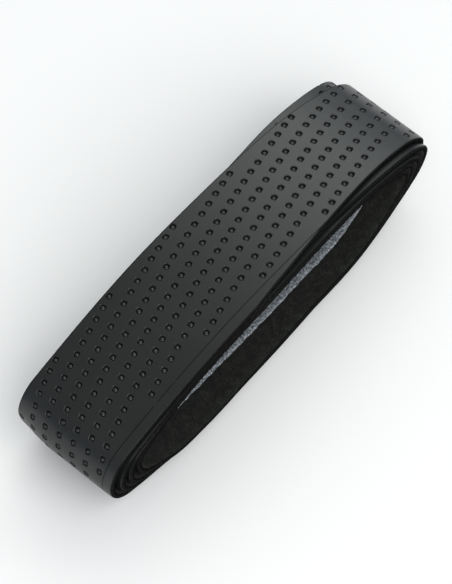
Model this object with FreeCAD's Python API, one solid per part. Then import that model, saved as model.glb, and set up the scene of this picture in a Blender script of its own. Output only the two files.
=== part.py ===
"""Racket grip tape, wound into a flattened coil that lies on its broad underside.

The tape is a laminate: a perforated polyurethane cover, a felt backing, a narrow strip of
adhesive down the middle of the felt, and the release liner on that adhesive. All four run
together from the outer end to the inner end.

Frame: X along the coil, Y across the tape (the coil's axis), Z up. The origin is at the middle
of the bounding box, on the surface the coil lies on. The winding is a chain of tangent arcs and
one flat run per turn, seen from -Y. It starts at the outer end under the +X bend, rises round
that bend, runs back over the top, and so on inwards, anticlockwise.
"""
import FreeCAD
import Part
import math
import os

# --- driving dimensions, in millimetres and degrees ---
TAPE_WIDTH = 27.0
COVER_THICKNESS = 0.80
BACKING_THICKNESS = 0.62
ADHESIVE_THICKNESS = 0.08
LINER_THICKNESS = 0.06
ADHESIVE_WIDTH = 12.6
LINER_WIDTH = 13.2
TURN_GAP = 0.06                   # air between one turn and the next
TURNS = 4                         # whole turns, before the last bend and the inner end on top

BEND_CENTRE_X = 45.2              # middle of each end bend, either side of the coil's centre
BEND_RADIUS = 9.5                 # outside of the outermost +X bend
TOP_RISE = 6.2                    # crown of the top above the bends
UNDER_SAG = 5.0                   # flat of the underside below the bends
FLAT_LENGTH = 30.0                # level part of the underside

INNER_END_X = 40.0                # where the tape stops, against the underside of the top
END_FLAP_TIP_ANGLE = -75.0        # the outer end, round the +X bend, measured from +X
END_FLAP_LIFT = 0.3               # how far the loose end stands off the turn under it
HINGE_GAP = 0.4                   # slit at the crease where the loose end folds back

TAPER_START_X = -9.0              # where the outer end starts to narrow, on top
TAPER_AT_BEND = 4.8               # width lost by the time the tape reaches the crease
TAPER_AT_TIP = 7.2                # width lost at the very end

LAMINATE_THICKNESS = COVER_THICKNESS + BACKING_THICKNESS + ADHESIVE_THICKNESS + LINER_THICKNESS
TURN_PITCH = LAMINATE_THICKNESS + TURN_GAP

# name, depth of its outer face below the tape's outer face, thickness, width
LAYERS = (
    ("perforated_cover", 0.0, COVER_THICKNESS, TAPE_WIDTH),
    ("felt_backing", COVER_THICKNESS, BACKING_THICKNESS, TAPE_WIDTH),
    ("adhesive_strip", COVER_THICKNESS + BACKING_THICKNESS, ADHESIVE_THICKNESS, ADHESIVE_WIDTH),
    ("release_liner", LAMINATE_THICKNESS - LINER_THICKNESS, LINER_THICKNESS, LINER_WIDTH),
)


def arc_radius(half_chord, rise):
    """Radius of an arc tangent to an end bend, half_chord from its middle and rise above the bend."""
    return (half_chord**2 + (BEND_RADIUS + rise) ** 2 - BEND_RADIUS**2) / (2 * rise)


def direction(start, end):
    """Angle in degrees of the line from start to end."""
    return math.degrees(math.atan2(end[1] - start[1], end[0] - start[0]))


def winding_centres():
    """Centres of the arcs, with the bends at height 0. Moving the top and under centres apart
    along X makes each turn smaller than the last by the same pitch."""
    under_half_chord = BEND_CENTRE_X - FLAT_LENGTH / 2
    top_radius = arc_radius(BEND_CENTRE_X, TOP_RISE)
    under_radius = arc_radius(under_half_chord, UNDER_SAG)
    spread = (
        BEND_CENTRE_X / (top_radius - BEND_RADIUS) + under_half_chord / (under_radius - BEND_RADIUS)
    )
    shift = TURN_PITCH / (2 * spread)
    under_height = under_radius - BEND_RADIUS - UNDER_SAG
    return {
        "right": (BEND_CENTRE_X, 0.0),
        "top": (shift, BEND_RADIUS + TOP_RISE - top_radius),
        "left": (-BEND_CENTRE_X, 0.0),
        "under_left": (-FLAT_LENGTH / 2 - shift, under_height),
        "under_right": (FLAT_LENGTH / 2 - shift, under_height),
    }


def winding():
    """The tape's outer face as (centre, radius, first angle, last angle), from outer to inner end.
    The flat run between two arcs of the underside needs no entry: it joins their ends."""
    centre = winding_centres()
    into_top = direction(centre["top"], centre["right"])
    into_left = direction(centre["top"], centre["left"])
    into_under = direction(centre["left"], centre["under_left"]) - 180 + 360
    into_right = direction(centre["under_right"], centre["right"])
    arcs = []
    radius = BEND_RADIUS
    for turn in range(TURNS):
        first = END_FLAP_TIP_ANGLE if turn == 0 else into_right
        arcs.append((centre["right"], radius, first, into_top))
        radius += math.dist(centre["right"], centre["top"])
        arcs.append((centre["top"], radius, into_top, into_left))
        radius -= math.dist(centre["top"], centre["left"])
        arcs.append((centre["left"], radius, into_left, into_under))
        radius += math.dist(centre["left"], centre["under_left"])
        arcs.append((centre["under_left"], radius, into_under - 360, -90.0))
        arcs.append((centre["under_right"], radius, -90.0, into_right))
        radius -= math.dist(centre["under_right"], centre["right"])
    arcs.append((centre["right"], radius, into_right, into_top))
    radius += math.dist(centre["right"], centre["top"])
    inner_end = math.degrees(math.acos((INNER_END_X - centre["top"][0]) / radius))
    arcs.append((centre["top"], radius, into_top, inner_end))
    return arcs


def point(centre, radius, angle):
    a = math.radians(angle)
    return FreeCAD.Vector(centre[0] + radius * math.cos(a), 0, centre[1] + radius * math.sin(a))


def path_edges(arcs, depth):
    """Edges along the tape at one depth below its outer face."""
    edges = []
    previous = None
    for centre, radius, first, last in arcs:
        start, end = (point(centre, radius - depth, angle) for angle in (first, last))
        if previous is not None and previous.distanceToPoint(start) > 1e-4:
            edges.append(Part.LineSegment(previous, start).toShape())
        middle = point(centre, radius - depth, (first + last) / 2)
        edges.append(Part.Arc(start, middle, end).toShape())
        previous = end
    return edges


def strip(arcs, depth, thickness, width):
    """One layer of the tape along the arcs: its edge-on outline, pulled across by its width."""
    outer = path_edges(arcs, depth)
    inner = path_edges(arcs, depth + thickness)
    ends = [
        Part.LineSegment(a.valueAt(a_at), b.valueAt(b_at)).toShape()
        for a, a_at, b, b_at in (
            (outer[0], outer[0].FirstParameter, inner[0], inner[0].FirstParameter),
            (outer[-1], outer[-1].LastParameter, inner[-1], inner[-1].LastParameter),
        )
    ]
    outline = Part.Wire(Part.__sortEdges__(outer + inner + ends))
    solid = Part.Face(outline).extrude(FreeCAD.Vector(0, width, 0))
    return solid.translated(FreeCAD.Vector(0, -width / 2, 0))


def prism(corners, direction_vector):
    """A solid prism from a flat polygon."""
    points = [FreeCAD.Vector(*c) for c in corners]
    return Part.Face(Part.makePolygon(points + points[:1])).extrude(direction_vector)


def narrowed_on_top(layer, arcs):
    """Cut the near edge of the outermost top strand back along a straight slant."""
    centre, radius, first, last = arcs[1]
    strand = strip(
        [(centre, radius + 1, first - 1, last)], 0, LAMINATE_THICKNESS + 1 + TURN_GAP / 2, TAPE_WIDTH + 2
    )
    edge = -TAPE_WIDTH / 2
    slope = TAPER_AT_BEND / (BEND_CENTRE_X - TAPER_START_X)
    run = BEND_CENTRE_X + 2 * BEND_RADIUS - TAPER_START_X
    high = centre[1] + radius + 2
    wedge = prism(
        (
            (TAPER_START_X, edge, -high),
            (TAPER_START_X + run, edge, -high),
            (TAPER_START_X + run, edge + slope * run, -high),
        ),
        FreeCAD.Vector(0, 0, 2 * high),
    )
    return layer.cut(strand.common(wedge))


def narrowed_round_bend(layer, arcs):
    """Cut the near edge of the loose end back along a slant that goes on narrowing to its tip."""
    centre, radius, first, last = arcs[0]
    top, tip = (point(centre, radius, angle).z for angle in (last, first))
    edge = -TAPE_WIDTH / 2
    slope = (TAPER_AT_TIP - TAPER_AT_BEND) / (top - tip)
    above, below = top + 2, tip - 2
    wedge = prism(
        (
            (0, edge - 1, above),
            (0, edge + TAPER_AT_BEND - slope * (above - top), above),
            (0, edge + TAPER_AT_TIP + slope * (tip - below), below),
            (0, edge - 1, below),
        ),
        FreeCAD.Vector(BEND_CENTRE_X + 2 * BEND_RADIUS, 0, 0),
    )
    return layer.cut(wedge)


def save(shape, name, place):
    """Put the piece in the part's frame and write its file."""
    shape = shape.translated(place)
    solids = shape.Solids
    assert len(solids) == 1 and solids[0].isValid(), name
    solids[0].exportStep(f"parts/{name}.step")
    box = solids[0].BoundBox
    print(
        f"{name}: volume {solids[0].Volume:.0f} mm3, x {box.XMin:.2f}..{box.XMax:.2f}, "
        f"y {box.YMin:.2f}..{box.YMax:.2f}, z {box.ZMin:.2f}..{box.ZMax:.2f}"
    )


def main():
    os.makedirs("parts", exist_ok=True)
    arcs = winding()
    under_centre, under_radius = arcs[3][:2]
    left_centre, left_radius = arcs[2][:2]
    right_end = BEND_CENTRE_X + BEND_RADIUS + END_FLAP_LIFT
    left_end = left_centre[0] - left_radius
    place = FreeCAD.Vector(-(left_end + right_end) / 2, 0, under_radius - under_centre[1])

    # The coil starts a slit's width after the crease, where the top strand leaves the bend.
    centre, radius, crease, last = arcs[1]
    slit = math.degrees(HINGE_GAP / radius)
    coil_arcs = [(centre, radius, crease + slit, last)] + arcs[2:]
    bend_centre, bend_radius, tip, bend_last = arcs[0]
    flap_arcs = [(bend_centre, bend_radius + END_FLAP_LIFT, tip, bend_last)]

    for name, depth, thickness, width in LAYERS:
        save(narrowed_on_top(strip(coil_arcs, depth, thickness, width), arcs), name, place)
        flap = narrowed_round_bend(strip(flap_arcs, depth, thickness, width), arcs)
        save(flap, name + "_loose_end", place)

    length = sum(math.radians(abs(b - a)) * r for _, r, a, b in arcs) + TURNS * FLAT_LENGTH
    hinge = point(bend_centre, bend_radius + END_FLAP_LIFT, bend_last) + place
    print(f"tape length {length:.0f} mm, hinge at x {hinge.x:.3f}, z {hinge.z:.3f}")


main()
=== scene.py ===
import math
import bmesh
import bpy
import numpy as np
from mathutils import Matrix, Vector, noise
from mathutils.geometry import delaunay_2d_cdt


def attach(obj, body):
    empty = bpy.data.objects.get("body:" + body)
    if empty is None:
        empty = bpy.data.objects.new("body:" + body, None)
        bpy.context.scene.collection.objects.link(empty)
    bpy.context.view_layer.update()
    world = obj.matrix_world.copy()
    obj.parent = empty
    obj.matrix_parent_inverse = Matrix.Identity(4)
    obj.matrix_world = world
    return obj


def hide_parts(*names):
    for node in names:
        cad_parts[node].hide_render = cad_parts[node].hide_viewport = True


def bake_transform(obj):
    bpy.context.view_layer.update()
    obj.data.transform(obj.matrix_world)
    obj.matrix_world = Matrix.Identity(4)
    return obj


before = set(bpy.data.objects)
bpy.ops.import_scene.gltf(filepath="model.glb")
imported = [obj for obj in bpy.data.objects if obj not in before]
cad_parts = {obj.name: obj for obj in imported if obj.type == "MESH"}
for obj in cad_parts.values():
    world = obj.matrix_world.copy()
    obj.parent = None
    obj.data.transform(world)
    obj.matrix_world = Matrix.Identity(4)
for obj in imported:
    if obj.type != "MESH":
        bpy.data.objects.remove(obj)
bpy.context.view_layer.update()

# A roll of racket grip tape. Each layer is made flat, as points (s, v, depth): s along the tape from
# its outer end, v across it and depth below its outer face. wrap() then winds it into the coil.
# Lengths are in mm, except where a name or comment says metres.
MM = 0.001

# ---------------------------------------------------------------- camera (metres)
AZIMUTH, ELEVATION, DISTANCE = math.radians(50.11), math.radians(57.93), 0.5673
AIM = Vector((-0.00228, -0.00114, 0.01235))
FOCAL_LENGTH, SENSOR_WIDTH = 163.97, 36


def add_camera():
    look = Vector((
        math.sin(AZIMUTH) * math.cos(ELEVATION),
        math.cos(AZIMUTH) * math.cos(ELEVATION),
        -math.sin(ELEVATION),
    ))
    data = bpy.data.cameras.new("camera")
    data.sensor_fit = "AUTO"
    data.sensor_width = SENSOR_WIDTH
    data.lens = FOCAL_LENGTH
    data.clip_start, data.clip_end = 0.01, 20
    camera = bpy.data.objects.new("camera", data)
    camera.location = AIM - look * DISTANCE
    camera.rotation_euler = look.to_track_quat("-Z", "Y").to_euler()
    bpy.context.scene.collection.objects.link(camera)
    bpy.context.scene.camera = camera


add_camera()

# ---------------------------------------------------------------- the tape, as part.py winds it
TAPE_WIDTH = 27.0
COVER, BACKING, ADHESIVE, LINER = 0.80, 0.62, 0.08, 0.06
ADHESIVE_WIDTH, LINER_WIDTH = 12.6, 13.2
TURN_GAP, TURNS = 0.06, 4
BEND_CENTRE_X, BEND_RADIUS = 45.2, 9.5
TOP_RISE, UNDER_SAG, FLAT_LENGTH = 6.2, 5.0, 30.0
INNER_END_X, END_FLAP_TIP_ANGLE, END_FLAP_LIFT = 40.0, -75.0, 0.3
PITCH = COVER + BACKING + ADHESIVE + LINER + TURN_GAP
EDGE = TAPE_WIDTH / 2

# The runs of one turn, in order
RUNS_PER_TURN = 6
RIGHT_BEND, TOP, LEFT_BEND, UNDER_LEFT, UNDER_FLAT, UNDER_RIGHT = range(RUNS_PER_TURN)


def arc_radius(half_chord, rise):
    return (half_chord**2 + (BEND_RADIUS + rise) ** 2 - BEND_RADIUS**2) / (2 * rise)


def direction(a, b):
    return math.degrees(math.atan2(b[1] - a[1], b[0] - a[0]))


def run_length(run):
    if run[0] == "line":
        return math.dist(run[1], run[2])
    _, _, radius, first, last = run
    return math.radians(last - first) * radius


def wind():
    """The tape's outer face from its outer end to its inner end: its runs, as ("arc", centre,
    radius, first angle, last angle) or ("line", from, to), where each run starts along the tape,
    and how far the winding moves to stand in the part's frame."""
    under_half = BEND_CENTRE_X - FLAT_LENGTH / 2
    top_r, under_r = arc_radius(BEND_CENTRE_X, TOP_RISE), arc_radius(under_half, UNDER_SAG)
    spread = BEND_CENTRE_X / (top_r - BEND_RADIUS) + under_half / (under_r - BEND_RADIUS)
    shift = PITCH / (2 * spread)
    under_z = under_r - BEND_RADIUS - UNDER_SAG
    right, left = (BEND_CENTRE_X, 0.0), (-BEND_CENTRE_X, 0.0)
    top = (shift, BEND_RADIUS + TOP_RISE - top_r)
    under_left, under_right = (-FLAT_LENGTH / 2 - shift, under_z), (FLAT_LENGTH / 2 - shift, under_z)
    into_top, into_left = direction(top, right), direction(top, left)
    into_under, into_right = direction(left, under_left) + 180, direction(under_right, right)
    runs, r = [], BEND_RADIUS
    for turn in range(TURNS):
        runs.append(("arc", right, r, END_FLAP_TIP_ANGLE if turn == 0 else into_right, into_top))
        r += math.dist(right, top)
        runs.append(("arc", top, r, into_top, into_left))
        r -= math.dist(top, left)
        runs.append(("arc", left, r, into_left, into_under))
        r += math.dist(left, under_left)
        runs.append(("arc", under_left, r, into_under - 360, -90.0))
        runs.append(("line", (under_left[0], under_left[1] - r), (under_right[0], under_right[1] - r)))
        runs.append(("arc", under_right, r, -90.0, into_right))
        r -= math.dist(under_right, right)
    runs.append(("arc", right, r, into_right, into_top))
    r += math.dist(right, top)
    inner_end = math.degrees(math.acos((INNER_END_X - top[0]) / r))
    runs.append(("arc", top, r, into_top, inner_end))
    left_end, right_end = left[0] - runs[LEFT_BEND][2], BEND_CENTRE_X + BEND_RADIUS + END_FLAP_LIFT
    place = (-(left_end + right_end) / 2, runs[UNDER_LEFT][2] - under_z)
    return runs, np.cumsum([0.0] + [run_length(run) for run in runs]), place


RUNS, STARTS, PLACE = wind()


def start(turn, run):
    return float(STARTS[turn * RUNS_PER_TURN + run])


def middle(turn, run):
    k = turn * RUNS_PER_TURN + run
    return float(STARTS[k] + STARTS[k + 1]) / 2


LENGTH = float(STARTS[-1])
CREASE = start(0, TOP)                                  # where the outer +X bend meets the top
CROWN = CREASE + math.radians(90 - RUNS[TOP][3]) * RUNS[TOP][2]   # highest line of the outer top strand
SPLIT = CREASE + 12.0                                   # where the loose end's own pieces end
TAPER_START = CROWN + 9.0                               # the tape narrows from here to its outer end
TAPER_AT_CREASE = 4.95                                  # width lost by the crease
TAPER_SLOPE = TAPER_AT_CREASE / (TAPER_START - CREASE)
STRIP_INSET = 0.6                                       # the strips stop this far inside the slant


def smooth(x):
    x = np.clip(x, 0, 1)
    return x * x * (3 - 2 * x)


def hump(s, at, width):
    return np.exp(-(((s - at) / width) ** 2))


def near_edge(s):
    """The tape's near edge, with the outer end's slant."""
    return -EDGE + np.maximum(0.0, TAPER_START - np.asarray(s, float)) * TAPER_SLOPE


def lowest(s, half_width):
    """The near edge of a layer: the tape's, or a narrower strip's own."""
    return near_edge(s) if half_width == EDGE else np.maximum(-half_width, near_edge(s) + STRIP_INSET)


# ---------------------------------------------------------------- how the coil really lies
# Sideways place of the tape at the tip, round the loose end and past the crease
DRIFT_AT_LOOSE_END = ((0.0, -3.6), (CREASE - 9.3, -2.4), (CREASE + 4.0, -1.5))
# ... then for each turn at the middle of the top, the -X bend, the underside and the next +X bend
DRIFT_OF_TURN = (
    (-1.32, -0.95, -0.75, 1.50), (-0.50, -1.60, -1.10, 0.95),
    (-0.55, -1.80, -1.60, 1.10), (-0.55, -1.70, -2.15, 0.90),
)
# ... in the second turn's top, before its middle
DRIFT_UNDER_TOP = ((-30, 1.0), (-12, 0.08))
# ... either side of the middle of the inner turns' undersides, as a share of the drift there
UNDERSIDE_LEAN = ((-38, 1.55), (-26, 1.45), (0, 1.0), (15, 0.74), (28, 0.76))
# ... and at the inner end
DRIFT_AT_INNER_END = 1.9

SECOND_BEND = middle(1, RIGHT_BEND)
PULLED_TIGHT, NARROWING = middle(1, TOP) - 14, 0.055    # where the second turn narrows, and its share
# How far the inner turns' bends draw back from the turn outside them, along X
DRAWN_LEFT = np.array((0.0, 0.9, 1.7, 2.7))
DRAWN_RIGHT = np.array((0.0, 0.0, 0.3, 0.6, 0.9))
left_bends_from = [middle(turn, UNDER_FLAT) for turn in range(TURNS)]
right_bends_from = [middle(turn, TOP) for turn in range(TURNS)]
FAR_ROLL = 1.3                                          # how far the far corner of the -X bend rolls over
ASKEW_LEFT, ASKEW_RIGHT = 0.021, 0.047                  # slope of the bends' lines across the tape


def drift_points():
    points = list(DRIFT_AT_LOOSE_END)
    for turn, (top, left_bend, underside, right_bend) in enumerate(DRIFT_OF_TURN):
        under = middle(turn, UNDER_FLAT)
        leans = UNDERSIDE_LEAN if turn > 0 else ((0, 1.0),)
        points += [(middle(turn, TOP), top), (middle(turn, LEFT_BEND), left_bend)]
        points += [(under + along, share * underside) for along, share in leans]
        points.append((middle(turn + 1, RIGHT_BEND), right_bend))
        if turn == 0:
            points += [(middle(1, TOP) + along, sideways) for along, sideways in DRIFT_UNDER_TOP]
    return np.array(points + [(LENGTH, DRIFT_AT_INNER_END)]).T


drift_at, drift_there = drift_points()
drift_slope = np.gradient(drift_there, drift_at)


def drift(s):
    """A smooth line through the drift's points."""
    k = np.clip(np.searchsorted(drift_at, s) - 1, 0, len(drift_at) - 2)
    h = drift_at[k + 1] - drift_at[k]
    t = (s - drift_at[k]) / h
    return (
        (2 * t**3 - 3 * t**2 + 1) * drift_there[k] + (t**3 - 2 * t**2 + t) * h * drift_slope[k]
        + (3 * t**2 - 2 * t**3) * drift_there[k + 1] + (t**3 - t**2) * h * drift_slope[k + 1]
    )


def on_winding(s, depth, lift):
    """x and z on the even winding, depth below the outer face and lift above it."""
    run_here = np.clip(np.searchsorted(STARTS, s, side="right") - 1, 0, len(RUNS) - 1)
    x, z = np.zeros_like(s), np.zeros_like(s)
    for k, run in enumerate(RUNS):
        at = run_here == k
        if not at.any():
            continue
        along = s[at] - STARTS[k]
        if run[0] == "arc":
            _, centre, radius, first, _ = run
            a = np.radians(first) + along / radius
            r = radius - depth[at] + lift[at]
            x[at], z[at] = centre[0] + r * np.cos(a), centre[1] + r * np.sin(a)
        else:
            _, a, b = run
            x[at] = a[0] + along / (STARTS[k + 1] - STARTS[k]) * (b[0] - a[0])
            z[at] = a[1] + depth[at]
    return x, z


def slumped(s, x, y, z):
    """The even winding's x and z, moved to how the coil really lies."""
    # the top slopes off towards the +X bend, which stands out a little
    shoulder, corner = smooth((x - 32) / 22), smooth((x - 43) / 12) * smooth((z + 8) / 16)
    x, z = x + 0.4 * shoulder + 1.1 * corner, z - 1.1 * shoulder * smooth(z / 8) - 1.3 * corner
    # the far corner of the -X bend rolls over a little
    roll = FAR_ROLL * smooth((-12 - x) / 34) * smooth((z + PLACE[1] - 3) / 9) * smooth((y - 1) / 13) ** 1.5
    a, on_bend = np.arctan2(z, x + BEND_CENTRE_X), x < -BEND_CENTRE_X
    x, z = x - roll * np.cos(a) * on_bend, z - roll * np.where(on_bend, np.sin(a), 1.0)
    # the inner turns' bends draw back
    left = DRAWN_LEFT[np.clip(np.searchsorted(left_bends_from, s), 0, TURNS - 1)]
    right = DRAWN_RIGHT[np.searchsorted(right_bends_from, s)]
    x = x + left * smooth((-20 - x) / 25) - right * smooth((x - 20) / 25)
    return x + y * np.interp(x, (-40, 40), (ASKEW_LEFT, ASKEW_RIGHT)), z


def wrap(s, v, depth):
    """Points of the wound tape, in metres."""
    s, v, depth = (np.asarray(a, float) for a in (s, v, depth))
    y = v * (1 - NARROWING * hump(s, PULLED_TIGHT, 13.0)) + drift(s)
    # the loose end stands off the turn under it, whose near edge bells out past it
    lift = END_FLAP_LIFT * smooth((CREASE + 4.0 - s) / 9.0)
    lift = lift + hump(s, SECOND_BEND, 11.0) * (0.2 + 0.9 * smooth((-8.8 - y) / 3.0))
    x, z = on_winding(s, depth, lift)
    x, z = slumped(s, x, y, z)
    return np.stack([x + PLACE[0], y, z + PLACE[1]], -1) * MM


def new_object(name, vertices, faces, uv, materials, second_from, sharp=()):
    """A smooth-shaded mesh. Faces from second_from on have the second material."""
    mesh = bpy.data.meshes.new(name)
    mesh.from_pydata([tuple(p) for p in vertices], [], faces)
    mesh.update()
    uv_layer = mesh.uv_layers.new(name="UVMap")
    loops = np.zeros(len(mesh.loops), np.int32)
    mesh.loops.foreach_get("vertex_index", loops)
    uv_layer.data.foreach_set("uv", np.asarray(uv, np.float32)[loops].ravel())
    for m in materials:
        mesh.materials.append(m)
    mesh.polygons.foreach_set("material_index", (np.arange(len(faces)) >= second_from).astype(np.int32))
    mesh.polygons.foreach_set("use_smooth", np.ones(len(mesh.polygons), bool))
    if sharp:
        pairs = np.zeros(len(mesh.edges) * 2, np.int32)
        mesh.edges.foreach_get("vertices", pairs)
        flags = [(min(a, b), max(a, b)) in sharp for a, b in pairs.reshape(-1, 2).tolist()]
        mesh.attributes.new("sharp_edge", "BOOLEAN", "EDGE").data.foreach_set("value", flags)
    obj = bpy.data.objects.new(name, mesh)
    bpy.context.scene.collection.objects.link(obj)
    return obj


# ---------------------------------------------------------------- perforated cover
# The holes' lattice, as (u, v): u runs along the tape from the crown, towards +X
LATTICE_ORIGIN = np.array((-19.42, 2.52))
ROW = np.array((2.909, 0.541))
ACROSS = np.array((0.588, -3.693))
LATTICE = np.stack([ROW, ACROSS], 1)
CORNERS = 12                                # points round a hole or round its cell of the lattice

FOLD_LINE = -EDGE + 2.33                    # a pressed line along the near edge
FOLD_LINE_CUTS = (-0.3, -0.16, 0, 0.16, 0.3)
EDGE_CUTS = (0.15, 0.3, 0.5)                # cuts beside each edge, which is rounded
HOLE_NEAR_LIMIT = FOLD_LINE + 1.57          # no holes nearer the near edge than this
HOLE_SLANT_MARGIN = 1.45                    # nor any nearer the outer end's slanted edge than this
HOLE_FAR_LIMIT = 12.7                       # nor any nearer the far edge than this
FINE_UNTIL = start(1, TOP) + 16             # the tape further in is covered, peeled or not

# A hole's rings, as (half width, rounding, depth), and the depth of its middle: a sunk frame round
# a raised stud. The covered holes are plain dimples.
FINE_RINGS = (
    (0.78, 0.5, 0.0), (0.71, 0.5, 0.05), (0.62, 0.5, 0.38), (0.46, 0.55, 0.34), (0.33, 0.65, 0.13),
)
FINE_MIDDLE = 0.10
STUD_FROM_RING = 3                          # the stud's rings sit off the hole's own centre
STUD_OFFSET = np.array((-0.09, -0.03))
STUD_DEPTHS = (0.08, 0.16)                  # points in this range are on the stud's top
PLAIN_RINGS, PLAIN_MIDDLE = ((0.68, 0.5, 0.0),), 0.30
HOLE_SEED, NUDGE, DEPTH_SPREAD = 7, 0.035, (0.85, 1.15)


def stretched(uv):
    """The rows of holes spread and bend a little along the outer top strand."""
    uv = np.array(uv, float)
    u = np.clip(uv[..., 0], -55, 55)
    uv[..., 0] += 7.2e-4 * u**2 - 2.2e-3 * np.maximum(u - 36, 0) ** 2
    uv[..., 1] += 1.0e-4 * u**2 + 8.5e-6 * u**3
    return uv


# the cover is divided between two columns of holes
split_column = round(float(np.linalg.solve(LATTICE, np.array([CROWN - SPLIT, 0]) - LATTICE_ORIGIN)[0])) + 0.5
SPLIT_AT = stretched(LATTICE_ORIGIN + split_column * ROW)
SPLIT_ALONG = stretched(LATTICE_ORIGIN + split_column * ROW + ACROSS) - SPLIT_AT


def hole_ring(half, rounding):
    """A rounded square, anticlockwise from the corner at (-, -), with its sides along the rows."""
    row_dir = ROW / np.linalg.norm(ROW)
    row_side = np.array((-row_dir[1], row_dir[0]))
    k, d = half, half * rounding
    c = d * 0.30
    square = (
        (-k + c, -k + c), (-k + d, -k), (k - d, -k),
        (k - c, -k + c), (k, -k + d), (k, k - d),
        (k - c, k - c), (k - d, k), (-k + d, k),
        (-k + c, k - c), (-k, k - d), (-k, -k + d),
    )
    return np.array([x * row_dir + y * row_side for x, y in square])


def cell_ring():
    """The edge of one cell of the lattice, round its middle, anticlockwise like the holes."""
    corners = [(-0.5, 0.5), (0.5, 0.5), (0.5, -0.5), (-0.5, -0.5)]   # ACROSS points to -v
    ring = []
    for n, (a, b) in enumerate(corners):
        a2, b2 = corners[(n + 1) % 4]
        for t in (0, 1 / 3, 2 / 3):
            ring.append((a + (a2 - a) * t) * ROW + (b + (b2 - b) * t) * ACROSS)
    return np.array(ring)


def has_hole(centre):
    u, v = stretched(centre)
    near_limit = HOLE_NEAR_LIMIT - 0.4 * (centre[0] < -48)
    return max(near_limit, near_edge(CROWN - u) + HOLE_SLANT_MARGIN) < v < HOLE_FAR_LIMIT


def lattice_mesh(s_from, s_to):
    """Points (u, v, depth) and faces of every cell that the stretch of tape may need."""
    cell = cell_ring()
    fine = [(hole_ring(half, rounding), depth) for half, rounding, depth in FINE_RINGS], FINE_MIDDLE
    plain = [(hole_ring(half, rounding), depth) for half, rounding, depth in PLAIN_RINGS], PLAIN_MIDDLE
    u_from, u_to = CROWN - s_to - 4, CROWN - s_from + 4
    box = np.array([(u, v) for u in (u_from, u_to) for v in (-EDGE - 3, EDGE + 3)])
    ij = np.linalg.solve(LATTICE, (box - LATTICE_ORIGIN).T)
    columns, rows = (range(int(k.min()) - 1, int(k.max()) + 2) for k in ij)
    points, faces = [], []
    random = np.random.default_rng(HOLE_SEED)
    for centre in (LATTICE_ORIGIN + i * ROW + j * ACROSS for i in columns for j in rows):
        if not (u_from < centre[0] < u_to and abs(centre[1]) < EDGE + 3):
            continue
        nudge, deep = random.normal(0, NUDGE, 2), random.uniform(*DEPTH_SPREAD)
        base, rings = len(points), 1
        points += [(*p, 0.0) for p in cell + centre]
        if has_hole(centre):
            shapes, middle_depth = plain if CROWN - centre[0] > FINE_UNTIL else fine
            for n, (ring, depth) in enumerate(shapes):
                aside = STUD_OFFSET * (n >= STUD_FROM_RING)
                points += [(*p, depth * deep) for p in ring + centre + nudge + aside]
            points.append((*(centre + nudge + STUD_OFFSET), middle_depth * deep))
            rings += len(shapes)
        else:
            points.append((*centre, 0.0))
        for first in range(base, base + CORNERS * (rings - 1), CORNERS):
            for k in range(CORNERS):
                a, b = first + k, first + (k + 1) % CORNERS
                faces.append((a, b, b + CORNERS, a + CORNERS))
        last, centre_point = base + CORNERS * (rings - 1), base + CORNERS * rings
        faces += [(last + k, last + (k + 1) % CORNERS, centre_point) for k in range(CORNERS)]
    points = np.array(points)
    points[:, :2] = stretched(points[:, :2])
    return points, faces


def cut(bm, point, normal, geom=None, keep_both=False):
    """Cut a flat mesh along a line. Unless keep_both, drop the side that the normal points to."""
    bmesh.ops.bisect_plane(
        bm, geom=geom or bm.verts[:] + bm.edges[:] + bm.faces[:], dist=1e-5,
        plane_co=(point[0], point[1], 0), plane_no=(normal[0], normal[1], 0),
        clear_outer=not keep_both,
    )


def cut_taper(bm):
    """Cut the slanted near edge of the outer end, and lines beside it."""
    u_taper = CROWN - TAPER_START
    cut(bm, (u_taper, 0), (1, 0), keep_both=True)

    def beyond_slant(face, margin):
        at = face.calc_center_median()
        return at.x > u_taper and at.y < -EDGE + (at.x - u_taper) * TAPER_SLOPE + margin

    for inside in (*reversed(EDGE_CUTS), 0.0):
        side = [f for f in bm.faces if beyond_slant(f, 4)]
        geom = set(side)
        for f in side:
            geom.update(f.verts)
            geom.update(f.edges)
        cut(bm, (u_taper, -EDGE + inside), (TAPER_SLOPE, -1), geom=list(geom), keep_both=True)
    bmesh.ops.delete(bm, geom=[f for f in bm.faces if beyond_slant(f, 0)], context="FACES")


def flat_cover(s_from, s_to):
    """The cover's outer face laid flat, as a bmesh whose points are (u, v, depth)."""
    points, faces = lattice_mesh(s_from, s_to)
    mesh = bpy.data.meshes.new("flat")
    mesh.from_pydata(points.tolist(), [], faces)
    bm = bmesh.new()
    bm.from_mesh(mesh)
    bpy.data.meshes.remove(mesh)
    bmesh.ops.remove_doubles(bm, verts=bm.verts, dist=1e-3)
    cut(bm, (0, EDGE), (0, 1))
    cut(bm, (0, -EDGE), (0, -1))
    for s_end, way in ((s_from, 1), (s_to, -1)):
        if s_end == SPLIT:
            cut(bm, SPLIT_AT, (way * -SPLIT_ALONG[1], way * SPLIT_ALONG[0]))
        else:
            cut(bm, (CROWN - s_end, 0), (way, 0))
    lines = [FOLD_LINE + d for d in FOLD_LINE_CUTS] + [-EDGE + d for d in EDGE_CUTS]
    for v in lines + [EDGE - d for d in reversed(EDGE_CUTS)]:
        cut(bm, (0, v), (0, 1), keep_both=True)
    if s_from < TAPER_START:
        cut_taper(bm)
    bmesh.ops.recalc_face_normals(bm, faces=bm.faces)
    if sum(f.normal.z for f in bm.faces) < 0:
        bmesh.ops.reverse_faces(bm, faces=bm.faces)
    bm.verts.ensure_lookup_table()
    bm.verts.index_update()
    return bm


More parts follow.
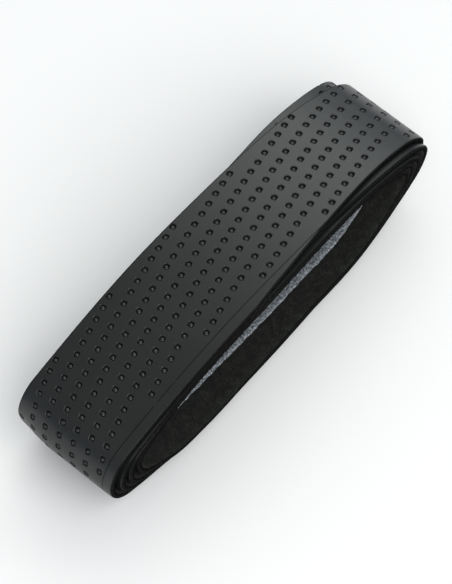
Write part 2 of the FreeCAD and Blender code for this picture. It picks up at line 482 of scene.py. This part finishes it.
def surface_dip(s, v):
    """How far the cover's outer face lies below its full thickness: the pressed line, the thinned
    strip outside it and the rounded edges."""
    line = 0.12 * np.clip(1 - np.abs(v - FOLD_LINE) / 0.15, 0, 1)
    thinned = 0.08 * np.clip((FOLD_LINE - v) / 2.5, 0, 1) ** 1.5
    near, far = (np.clip(1 - inside / 0.3, 0, 1) for inside in (v - near_edge(s), EDGE - v))
    return line + thinned + (0.10 * near + 0.10 * far)


def cover_back(s_from, s_to, rim, rim_s, rim_v):
    """The plain back: a grid of points inside the rim, and the faces that join them to it. A face's
    numbers count through the rim's points and then the grid's."""
    grid_s = np.arange(s_from + 1.0, s_to - 0.6, 1.25)
    grid = np.array([(a, b) for a in grid_s for b in np.linspace(-EDGE + 1.5, EDGE - 1.5, 6)])
    grid = grid[grid[:, 1] > near_edge(grid[:, 0]) + 1.0]
    if SPLIT in (s_from, s_to):
        from_u, from_v = (CROWN - grid[:, 0]) - SPLIT_AT[0], grid[:, 1] - SPLIT_AT[1]
        beside = from_u * -SPLIT_ALONG[1] + from_v * SPLIT_ALONG[0]
        grid = grid[(beside < -2.0) if s_from == SPLIT else (beside > 2.0)]
    all_s, all_v = np.concatenate([rim_s, grid[:, 0]]), np.concatenate([rim_v, grid[:, 1]])
    where = [Vector(p) for p in zip(all_s, all_v)]
    _, _, triangles, origins, _, _ = delaunay_2d_cdt(where, rim, [], 1, 1e-6)
    faces = []
    for triangle in triangles:
        a, b, c = (origins[k][0] for k in triangle)
        to_b = all_s[b] - all_s[a], all_v[b] - all_v[a]
        to_c = all_s[c] - all_s[a], all_v[c] - all_v[a]
        anticlockwise = to_b[0] * to_c[1] - to_b[1] * to_c[0] > 0
        faces.append((a, b, c) if anticlockwise else (c, b, a))   # s runs against u: this faces inwards
    return grid, faces


def outer_normals(s, v):
    """Normals of the smooth curve that the cover's outer face lies on."""
    h = 0.05
    along = wrap(s + h, v, surface_dip(s + h, v)) - wrap(s - h, v, surface_dip(s - h, v))
    across = wrap(s, v + h, surface_dip(s, v)) - wrap(s, v - h, surface_dip(s, v))
    normal = np.cross(across, along)
    return normal / np.linalg.norm(normal, axis=1)[:, None]


def painted_shade_at(s, v, hole_depth):
    """How much painted shade, which darkens it and dulls its shine, each point of the outer face gets."""
    # painted shade in the holes' deep frames and in the pressed line, where shade falls
    hole = smooth((hole_depth - 0.12) / 0.12)
    line = 0.9 * np.clip(1 - np.abs(v - FOLD_LINE) / 0.17, 0, 1)
    # painted shade along both rounded edges, dimming the light they catch
    edge_shade = 1.2 * np.clip(1 - np.minimum(v - near_edge(s), EDGE - v) / 0.3, 0, 1)
    # painted shade round the outer turn's -X bend, which also dims the reflection there
    bend_shade = 0.5 * smooth((s - start(0, LEFT_BEND) - 5) / 8) * smooth((start(0, UNDER_LEFT) + 12 - s) / 12)
    # and a painted shadow on the second turn beside the outer end's slanted edge, which stands off it
    beside_slant = smooth((-7.5 - v) / 2.5) * smooth((s - SECOND_BEND - 2) / 8)
    slant_shadow = 0.6 * beside_slant * smooth((start(1, LEFT_BEND) - s) / 20)
    return np.clip(hole + line + edge_shade + (bend_shade + slant_shadow), 0, 1)


def cover(name, s_from, s_to, face_material, core_material):
    bm = flat_cover(s_from, s_to)
    flat = np.array([v.co for v in bm.verts])
    faces = [tuple(v.index for v in f.verts) for f in bm.faces]
    rim = [
        (loop.vert.index, loop.link_loop_next.vert.index)
        for edge in bm.edges if edge.is_boundary for loop in edge.link_loops
    ]
    bm.free()
    count, outer_faces = len(flat), len(faces)
    s, v, hole_depth = CROWN - flat[:, 0], flat[:, 1], flat[:, 2]
    dip = surface_dip(s, v)
    depth = hole_depth + dip

    # walls: the rim's points again, part way down, where they stand out, and at the back
    rim_points = sorted({a for pair in rim for a in pair})
    order = {p: k for k, p in enumerate(rim_points)}
    walls = len(rim_points)
    rim_s, rim_v = s[rim_points], v[rim_points]
    at_end = (rim_v < EDGE - 1e-3) & (rim_v > near_edge(rim_s) + 1e-3)
    side = np.where(rim_v > 0, 1.0, -1.0) * ~at_end
    rough = np.array([noise.noise(Vector((a * 2.1, b * 0.7, 3.0))) for a, b in zip(rim_s, rim_v)])
    for a, b in rim:
        mid_a, mid_b = count + order[a], count + order[b]
        faces.append((b, a, mid_a, mid_b))
        faces.append((mid_b, mid_a, mid_a + walls, mid_b + walls))
    grid, back_faces = cover_back(s_from, s_to, [(order[a], order[b]) for a, b in rim], rim_s, rim_v)
    faces += [tuple(count + walls + k for k in face) for face in back_faces]

    all_s = np.concatenate([s, rim_s, rim_s, grid[:, 0]])
    all_v = np.concatenate([v, rim_v + side * (0.07 + 0.06 * rough), rim_v, grid[:, 1]])
    wall_depth = np.maximum(depth[rim_points] + 0.12, 0.45)
    all_depth = np.concatenate([depth, wall_depth, np.full(walls + len(grid), COVER)])
    obj = new_object(
        name, wrap(all_s, all_v, all_depth), faces, np.stack([all_s, all_v], -1) * MM,
        (face_material, core_material), outer_faces, {(min(a, b), max(a, b)) for a, b in rim},
    )

    # the outer face shades as a smooth curve, except inside the holes and the line
    normal = outer_normals(s, v)
    open_face = (hole_depth == 0) & (dip < 0.085)
    corners = np.array([point for face in faces[:outer_faces] for point in face])
    loop_normals = np.zeros((len(obj.data.loops), 3))
    loop_normals[:len(corners)] = np.where(open_face[corners, None], normal[corners], 0.0)
    obj.data.normals_split_custom_set(loop_normals.tolist())

    # the painted shade on the outer face, and where its studs' tops are
    painted_shade, stud = (np.zeros(len(all_s), np.float32) for _ in range(2))
    painted_shade[:count] = painted_shade_at(s, v, hole_depth)
    # the studs' tops, which the face material paints lighter as a highlight
    stud[:count] = (hole_depth > STUD_DEPTHS[0]) & (hole_depth < STUD_DEPTHS[1]) & (s < FINE_UNTIL)
    obj.data.attributes.new("painted_shade", "FLOAT", "POINT").data.foreach_set("value", painted_shade)
    obj.data.attributes.new("stud", "FLOAT", "POINT").data.foreach_set("value", stud)
    return obj


# ---------------------------------------------------------------- plain layers
STRIP_VEERS = 1.2        # the adhesive and its liner run this far out of line near the inner end
STRIP_VEERS_FROM = middle(TURNS - 1, UNDER_FLAT) - 22


def edge_wander(s, seed, offset, scale=1.3):
    """A column of noise along the tape, for an edge that isn't quite straight."""
    return np.array([[noise.noise(Vector((a * scale, seed, offset)))] for a in s])


def layer(name, s_from, s_to, half_width, outer, inner, materials, step, rows, edge_noise, face_noise, seed):
    """A closed strip between two depths: its inner face, towards the coil's middle, has the detail."""
    columns = max(2, int(round((s_to - s_from) / step)) + 1)
    along = np.linspace(s_from, s_to, columns)
    s, across = np.meshgrid(along, np.linspace(-1, 1, rows), indexing="ij")
    near_wander = edge_wander(along, seed, 0) + 0.5 * edge_wander(along, seed, 5, 3.9)
    near = lowest(s, half_width) + edge_noise * near_wander
    far = half_width + edge_noise * edge_wander(along, seed, 9)
    v = near + (far - near) * (across + 1) / 2
    if half_width < EDGE:
        v = v - STRIP_VEERS * smooth((s - STRIP_VEERS_FROM) / 34)
    bumps = np.array([
        noise.noise(Vector((a * 0.9, b * 0.9, seed)))
        + 0.6 * noise.noise(Vector((a * 2.3, b * 2.3, seed + 4)))
        for a, b in zip(s.ravel(), v.ravel())
    ]).reshape(s.shape)
    at_edge = np.abs(across) > 0.999
    inner_depth = inner + face_noise * bumps - 0.10 * (inner - outer) * at_edge
    all_s, all_v = np.tile(s.ravel(), 2), np.tile(v.ravel(), 2)
    all_depth = np.concatenate([inner_depth.ravel(), np.full(s.size, outer)])

    n = s.size
    index = np.arange(n).reshape(columns, rows)
    a, b, c, d = index[:-1, :-1], index[1:, :-1], index[1:, 1:], index[:-1, 1:]
    faces = np.stack([a, b, c, d], -1).reshape(-1, 4).tolist()
    faces += (np.stack([d, c, b, a], -1).reshape(-1, 4) + n).tolist()
    first_rim = len(faces)
    for p, q in zip(index[:-1], index[1:]):
        faces.append((q[0], p[0], p[0] + n, q[0] + n))
        faces.append((p[-1], q[-1], q[-1] + n, p[-1] + n))
    for p, q in zip(index.T[:-1], index.T[1:]):
        faces.append((p[0], q[0], q[0] + n, p[0] + n))
        faces.append((q[-1], p[-1], p[-1] + n, q[-1] + n))
    faces = [tuple(int(i) for i in f) for f in faces]
    uv = np.stack([all_s, all_v], -1) * MM
    return new_object(name, wrap(all_s, all_v, all_depth), faces, uv, materials, first_rim)


# ---------------------------------------------------------------- materials
# Texture scales are per metre, and bump distances are in metres.
# A mix node's sockets go by number, because its kinds share their names
FACTOR, FLOAT_A, FLOAT_B, COLOUR_A, COLOUR_B = 0, 2, 3, 6, 7
FLOAT_RESULT, COLOUR_RESULT = 0, 2


def new_material(name, **constants):
    m = bpy.data.materials.new(name)
    m.use_nodes = True
    shader = m.node_tree.nodes["Principled BSDF"]
    for key, value in constants.items():
        shader.inputs[key.replace("_", " ")].default_value = value
    return m, m.node_tree, shader


def node(tree, kind, **values):
    n = tree.nodes.new(kind)
    for key, value in values.items():
        if key in n.inputs:
            n.inputs[key].default_value = value
        else:
            setattr(n, key, value)
    return n


def on_object(tree):
    return node(tree, "ShaderNodeTexCoord").outputs["Object"]


def on_tape(tree):
    """Metres along and across the tape."""
    return node(tree, "ShaderNodeUVMap").outputs["UV"]


def texture(tree, where, kind, output, **values):
    n = node(tree, kind, **values)
    tree.links.new(where, n.inputs["Vector"])
    return n.outputs[output]


def clouds(tree, where, **values):
    return texture(tree, where, "ShaderNodeTexNoise", "Fac", **values)


def cells(tree, where, **values):
    return texture(tree, where, "ShaderNodeTexVoronoi", "Distance", **values)


def ramp(tree, source, stops):
    r = tree.nodes.new("ShaderNodeValToRGB")
    while len(r.color_ramp.elements) < len(stops):
        r.color_ramp.elements.new(0.5)
    for e, (at, colour) in zip(r.color_ramp.elements, stops):
        e.position = at
        e.color = (*colour, 1)
    tree.links.new(source, r.inputs["Fac"])
    return r.outputs["Color"]


def ranged(tree, source, to, source_range=(0.0, 1.0)):
    n = node(tree, "ShaderNodeMapRange")
    n.inputs["From Min"].default_value, n.inputs["From Max"].default_value = source_range
    n.inputs["To Min"].default_value, n.inputs["To Max"].default_value = to
    tree.links.new(source, n.inputs["Value"])
    return n.outputs["Result"]


def bumped(tree, height, strength, distance, under=None):
    n = node(tree, "ShaderNodeBump", Strength=strength, Distance=distance)
    tree.links.new(height, n.inputs["Height"])
    if under:
        tree.links.new(under, n.inputs["Normal"])
    return n.outputs["Normal"]


def towards_colour(tree, factor, colour, end_colour):
    n = node(tree, "ShaderNodeMix", data_type="RGBA")
    tree.links.new(factor, n.inputs[FACTOR])
    tree.links.new(colour, n.inputs[COLOUR_A])
    n.inputs[COLOUR_B].default_value = (*end_colour, 1)
    return n.outputs[COLOUR_RESULT]


def cover_face():
    m, t, shader = new_material("cover_pu")
    where = on_object(t)
    broad = clouds(t, where, Scale=90.0, Detail=4.0, Roughness=0.6)
    fine = clouds(t, where, Scale=3200.0, Detail=3.0, Roughness=0.6)
    grain = cells(t, where, Scale=2600.0)
    painted_shade = node(t, "ShaderNodeAttribute", attribute_name="painted_shade").outputs["Fac"]
    stud = node(t, "ShaderNodeAttribute", attribute_name="stud").outputs["Fac"]
    colour = ramp(t, broad, ((0.3, (0.0062, 0.0074, 0.0072)), (0.7, (0.0100, 0.0116, 0.0113))))
    # the studs' tops painted lighter: a painted highlight
    colour = towards_colour(t, stud, colour, (0.013, 0.015, 0.014))
    # painted shade: the holes' frames, the line, the edges, the -X bend and beside the slant darker
    colour = towards_colour(t, painted_shade, colour, (0.0045, 0.0050, 0.0050))
    t.links.new(colour, shader.inputs["Base Color"])
    # where the painted shade lies the face also shines less, and the studs' tops a little more again
    shine = node(t, "ShaderNodeMath", operation="MULTIPLY_ADD")
    t.links.new(stud, shine.inputs[0])
    shine.inputs[1].default_value = 0.04
    t.links.new(ranged(t, painted_shade, (0.5, 0.04)), shine.inputs[2])
    t.links.new(shine.outputs[0], shader.inputs["Specular IOR Level"])
    t.links.new(ranged(t, fine, (0.31, 0.40), (0.3, 0.7)), shader.inputs["Roughness"])
    normal = bumped(t, fine, 0.15, 0.00006, bumped(t, grain, 0.18, 0.00004))
    t.links.new(normal, shader.inputs["Normal"])
    return m


def cover_core():
    """The cut edges and the back of the cover: open, matt foam."""
    m, t, shader = new_material("cover_core", Roughness=0.95, Specular_IOR_Level=0.04)
    where = on_object(t)
    fleck = clouds(t, where, Scale=1500.0, Detail=5.0, Roughness=0.75)
    t.links.new(ramp(t, fleck, (
        (0.35, (0.0035, 0.0036, 0.0034)), (0.60, (0.009, 0.009, 0.008)), (0.76, (0.045, 0.046, 0.040)),
    )), shader.inputs["Base Color"])
    t.links.new(bumped(t, cells(t, where, Scale=3800.0), 0.8, 0.00008), shader.inputs["Normal"])
    return m


def felt_face():
    m, t, shader = new_material(
        "backing_felt", Sheen_Weight=0.04, Sheen_Roughness=0.6, Specular_IOR_Level=0.05,
    )
    where = on_tape(t)
    combed = node(t, "ShaderNodeMapping", Scale=(1.0, 2.6, 1.0))
    t.links.new(where, combed.inputs["Vector"])
    mottle = clouds(t, where, Scale=520.0, Detail=5.0, Roughness=0.7, Distortion=0.8)
    fibre = clouds(t, combed.outputs["Vector"], Scale=2600.0, Detail=4.0, Roughness=0.75, Distortion=1.5)
    mix = node(t, "ShaderNodeMix", data_type="FLOAT")
    mix.inputs[FACTOR].default_value = 0.68
    t.links.new(mottle, mix.inputs[FLOAT_A])
    t.links.new(fibre, mix.inputs[FLOAT_B])
    felt = mix.outputs[FLOAT_RESULT]
    t.links.new(ramp(t, felt, (
        (0.38, (0.0040, 0.0046, 0.0039)), (0.48, (0.0095, 0.0106, 0.0092)),
        (0.56, (0.020, 0.0213, 0.0180)), (0.66, (0.055, 0.057, 0.048)),
    )), shader.inputs["Base Color"])
    t.links.new(bumped(t, felt, 0.9, 0.00018), shader.inputs["Normal"])
    t.links.new(ranged(t, fibre, (0.85, 1.0)), shader.inputs["Roughness"])
    return m


def shaded_felt_edge():
    """The cut edges of the felt: the felt painted darker than on its face, as painted shade."""
    m, t, shader = new_material("backing_felt_edge_shaded", Roughness=1.0, Specular_IOR_Level=0.02)
    fibre = clouds(t, on_object(t), Scale=1800.0, Detail=5.0, Roughness=0.7)
    t.links.new(ramp(t, fibre, (
        (0.40, (0.0018, 0.0021, 0.0019)), (0.58, (0.0042, 0.0046, 0.0040)), (0.72, (0.016, 0.017, 0.014)),
    )), shader.inputs["Base Color"])
    t.links.new(bumped(t, fibre, 0.8, 0.0001), shader.inputs["Normal"])
    return m


def adhesive_film():
    m, t, shader = new_material("adhesive_tack", Roughness=0.3)
    blot = clouds(t, on_tape(t), Scale=600.0, Detail=4.0)
    colour = ramp(t, blot, ((0.3, (0.10, 0.10, 0.095)), (0.7, (0.20, 0.20, 0.185))))
    t.links.new(colour, shader.inputs["Base Color"])
    t.links.new(bumped(t, blot, 0.4, 0.00005), shader.inputs["Normal"])
    return m


def liner_film():
    m, t, shader = new_material("liner_film")
    where = on_tape(t)
    blot = clouds(t, where, Scale=2000.0, Detail=5.0, Roughness=0.75, Distortion=0.8)
    crinkle = clouds(t, where, Scale=1500.0, Detail=3.0, Roughness=0.6, Distortion=0.6)
    t.links.new(ramp(t, blot, (
        (0.38, (0.030, 0.035, 0.040)), (0.50, (0.12, 0.133, 0.145)), (0.62, (0.40, 0.43, 0.46)),
    )), shader.inputs["Base Color"])
    t.links.new(bumped(t, crinkle, 0.7, 0.00012), shader.inputs["Normal"])
    t.links.new(ranged(t, crinkle, (0.35, 0.6)), shader.inputs["Roughness"])
    return m


# ---------------------------------------------------------------- the pieces
# The thickness of the tape's layers together, without the gap between turns
LAMINATE = PITCH - TURN_GAP
TACK, FILM = adhesive_film(), liner_film()
COVER_MATERIALS = cover_face(), cover_core()

# node, material slot, half width, and what layer() takes; the cover has cover() instead
PIECES = (
    ("perforated_cover", "cover", EDGE, None),
    ("felt_backing", "backing", EDGE, dict(
        outer=COVER + 0.01, inner=COVER + BACKING, materials=(felt_face(), shaded_felt_edge()),
        step=0.45, rows=20, edge_noise=0.13, face_noise=0.045, seed=11,
    )),
    ("adhesive_strip", "adhesive", ADHESIVE_WIDTH / 2, dict(
        outer=COVER + BACKING - 0.02, inner=COVER + BACKING + ADHESIVE, materials=(TACK, TACK),
        step=1.2, rows=8, edge_noise=0.10, face_noise=0.0, seed=21,
    )),
    ("release_liner", "liner", LINER_WIDTH / 2, dict(
        outer=COVER + BACKING + ADHESIVE + 0.005, inner=LAMINATE, materials=(FILM, FILM),
        step=1.0, rows=16, edge_noise=0.30, face_noise=0.02, seed=31,
    )),
)


def finish_piece(obj, nodes, body):
    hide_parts(nodes)
    if body == "coil":
        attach(obj, "coil")
    else:
        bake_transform(obj)


for node_name, slot, half_width, make in PIECES:
    for suffix, s_from, s_to, body in (("", SPLIT, LENGTH, "coil"), ("_loose_end", 0.0, SPLIT, "loose_end")):
        name = "tape_" + node_name + suffix
        if make is None:
            obj = cover(name, s_from, s_to, *COVER_MATERIALS)
        else:
            obj = layer(name, s_from, s_to, half_width, **make)
        finish_piece(obj, node_name + suffix, body)


# ---------------------------------------------------------------- stage and light
FLOOR_HALF = 3.0                                        # metres
ABOVE_RIGHT, BACK_LEFT = (0.80, 0.40, 0.45), (-0.45, 0.40, 0.80)


def add_floor():
    corners = [(-FLOOR_HALF, -FLOOR_HALF, 0), (FLOOR_HALF, -FLOOR_HALF, 0)]
    corners += [(FLOOR_HALF, FLOOR_HALF, 0), (-FLOOR_HALF, FLOOR_HALF, 0)]
    mesh = bpy.data.meshes.new("floor")
    mesh.from_pydata(corners, [], [(0, 1, 2, 3)])
    floor = bpy.data.objects.new("floor", mesh)
    bpy.context.scene.collection.objects.link(floor)
    mesh.materials.append(new_material("floor", Base_Color=(0.93, 0.93, 0.92, 1), Roughness=0.9)[0])


def facing(tree, where, way):
    """How nearly a direction points the way given: the cosine of the angle, times the way's length."""
    n = node(tree, "ShaderNodeVectorMath", operation="DOT_PRODUCT")
    tree.links.new(where, n.inputs[0])
    n.inputs[1].default_value = way
    return n.outputs["Value"]


def blended(tree, kind, a, b):
    n = node(tree, "ShaderNodeMix", data_type="RGBA", blend_type=kind)
    n.inputs[FACTOR].default_value = 1.0
    tree.links.new(a, n.inputs[COLOUR_A])
    tree.links.new(b, n.inputs[COLOUR_B])
    return n.outputs[COLOUR_RESULT]


def add_studio():
    """A dim room, brighter low down, with one broad soft light high up towards +X and a faint glow
    behind the -X end."""
    world = bpy.data.worlds.new("studio")
    bpy.context.scene.world = world
    world.use_nodes = True
    t = world.node_tree
    where = node(t, "ShaderNodeTexCoord").outputs["Generated"]
    split = node(t, "ShaderNodeSeparateXYZ")
    t.links.new(where, split.inputs["Vector"])
    height = split.outputs["Z"]
    room = ramp(t, height, (
        (0.0, (0.17, 0.195, 0.24)), (0.30, (0.15, 0.165, 0.19)),
        (0.65, (0.095, 0.096, 0.10)), (1.0, (0.075, 0.075, 0.076)),
    ))
    soft_light = ramp(t, facing(t, where, ABOVE_RIGHT), (
        (0.50, (0.0, 0.0, 0.0)), (0.70, (0.10, 0.10, 0.10)),
        (0.86, (0.35, 0.365, 0.36)), (1.0, (1.30, 1.35, 1.31)),
    ))
    high_up = ramp(t, height, ((0.30, (0.0, 0.0, 0.0)), (0.55, (1.0, 1.0, 1.0))))
    glow = ramp(t, facing(t, where, BACK_LEFT), ((0.80, (0.0, 0.0, 0.0)), (1.0, (0.085, 0.088, 0.088))))
    total = blended(t, "ADD", room, blended(t, "MULTIPLY", soft_light, high_up))
    sky = t.nodes["Background"]
    t.links.new(blended(t, "ADD", total, glow), sky.inputs["Color"])
    sky.inputs["Strength"].default_value = 2.4


def add_fill_light():
    place, size, power = Vector((-0.30, -1.00, 1.20)), (2.0, 1.6), 26.0   # metres and watts
    data = bpy.data.lights.new("fill", "AREA")
    data.shape = "RECTANGLE"
    data.size, data.size_y = size
    data.energy = power
    light = bpy.data.objects.new("fill", data)
    light.location = place
    light.rotation_euler = (-place).to_track_quat("-Z", "Y").to_euler()   # towards the origin
    bpy.context.scene.collection.objects.link(light)


add_floor()
add_studio()
add_fill_light()
bpy.context.scene.view_settings.view_transform = "Standard"
